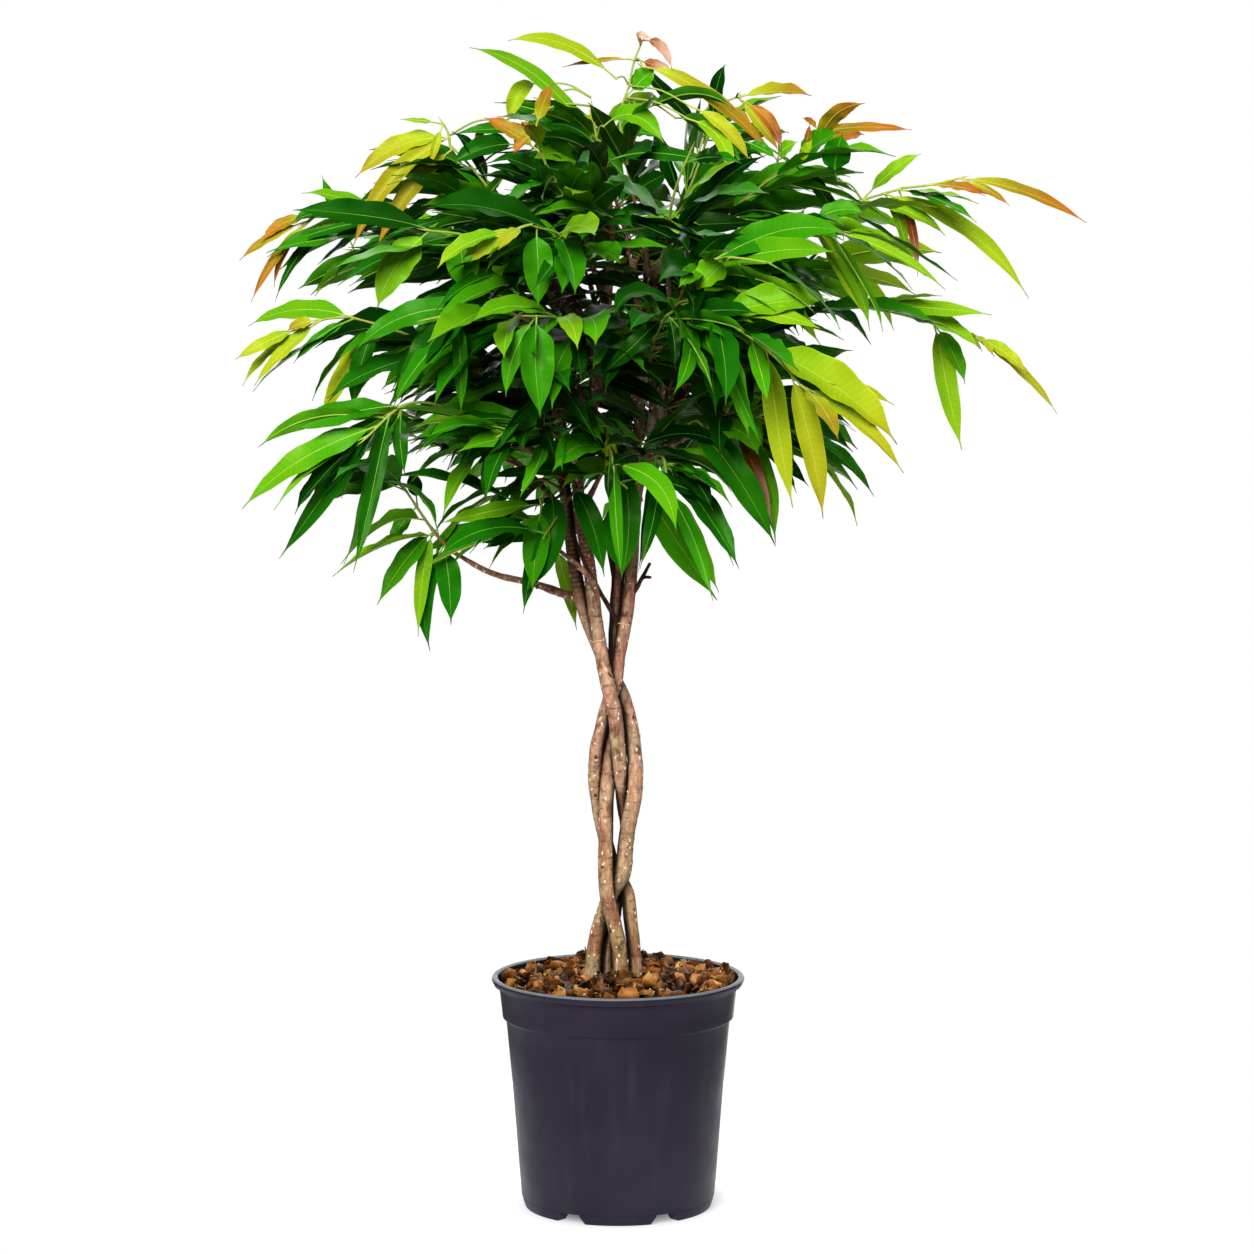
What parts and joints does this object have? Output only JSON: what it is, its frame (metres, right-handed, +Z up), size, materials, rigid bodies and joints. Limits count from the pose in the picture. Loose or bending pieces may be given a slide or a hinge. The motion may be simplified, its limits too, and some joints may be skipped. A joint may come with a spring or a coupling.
{
  "type": "potted ficus",
  "caption": "Potted ficus: slim stems braided into one trunk, a wide crown of long drooping leaves, bark mulch, and a round dark nursery pot with a rolled rim and drain slots.",
  "frame": {"origin": "middle of the flat pad under the pot, on the ground", "axes": "+Z up along the pot's axis, -Y to the front of the plant, +X to its right seen from the front"},
  "size_m": [0.8942, 0.7488, 1.2492],
  "materials": {
    "pot": "moulded charcoal plastic, satin",
    "soil": "moist potting compost",
    "mulch": "dry bark flakes",
    "bark": "smooth young bark with pale pores and nodes",
    "leaf_mature": "waxy, glossy green leaf with a pale midrib",
    "leaf_young": "waxy yellow-green young leaf",
    "leaf_copper": "waxy copper leaf, newly opened"
  },
  "bodies": {
    "root": {"mulch": "mulch", "pot": "pot", "soil": "soil", "spray_back_high": "leaf_mature", "spray_back_left": "leaf_mature", "spray_back_left_middle": "leaf_mature", "spray_back_low": "leaf_mature", "spray_back_low_left": "leaf_mature", "spray_back_low_right": "leaf_mature", "spray_back_middle": "leaf_mature", "spray_back_right": "leaf_mature", "spray_back_right_middle": "leaf_mature", "spray_front_high": "leaf_mature", "spray_front_low": "leaf_mature", "spray_front_low_left": "leaf_mature", "spray_front_low_right": "leaf_mature", "spray_front_middle": "leaf_mature", "spray_front_right": "leaf_mature", "spray_left_back": "leaf_mature", "spray_left_front": "leaf_mature", "spray_left_front_high": "leaf_mature", "spray_left_low": "leaf_mature", "spray_left_low_back": "leaf_mature", "spray_left_mid": "leaf_mature", "spray_left_up": "leaf_mature", "spray_low_front_left": "leaf_mature", "spray_low_left": "leaf_mature", "spray_right": "leaf_mature", "spray_right_back": "leaf_mature", "spray_right_front": "leaf_mature", "spray_right_front_low": "leaf_mature", "spray_right_low": "leaf_mature", "spray_right_low_back": "leaf_mature", "spray_right_mid": "leaf_mature", "spray_right_second": "leaf_mature", "spray_right_up": "leaf_mature", "spray_top": "leaf_mature", "spray_top_back": "leaf_mature", "spray_top_back_right": "leaf_mature", "spray_top_front": "leaf_mature", "spray_top_front_right": "leaf_mature", "spray_top_left": "leaf_mature", "spray_top_right": "leaf_mature", "spray_up_left": "leaf_mature", "stem_a": "bark", "stem_b": "bark", "stem_c": "bark", "stem_d": "bark", "tip_front_high": "leaf_young", "tip_left_mid": "leaf_young", "tip_left_up": "leaf_copper", "tip_right": "leaf_copper", "tip_right_front_low": "leaf_young", "tip_right_mid": "leaf_young", "tip_right_up": "leaf_copper", "tip_top": "leaf_copper", "tip_top_front": "leaf_copper", "tip_top_right": "leaf_copper", "tip_up_left": "leaf_young"}
  },
  "joints": []
}
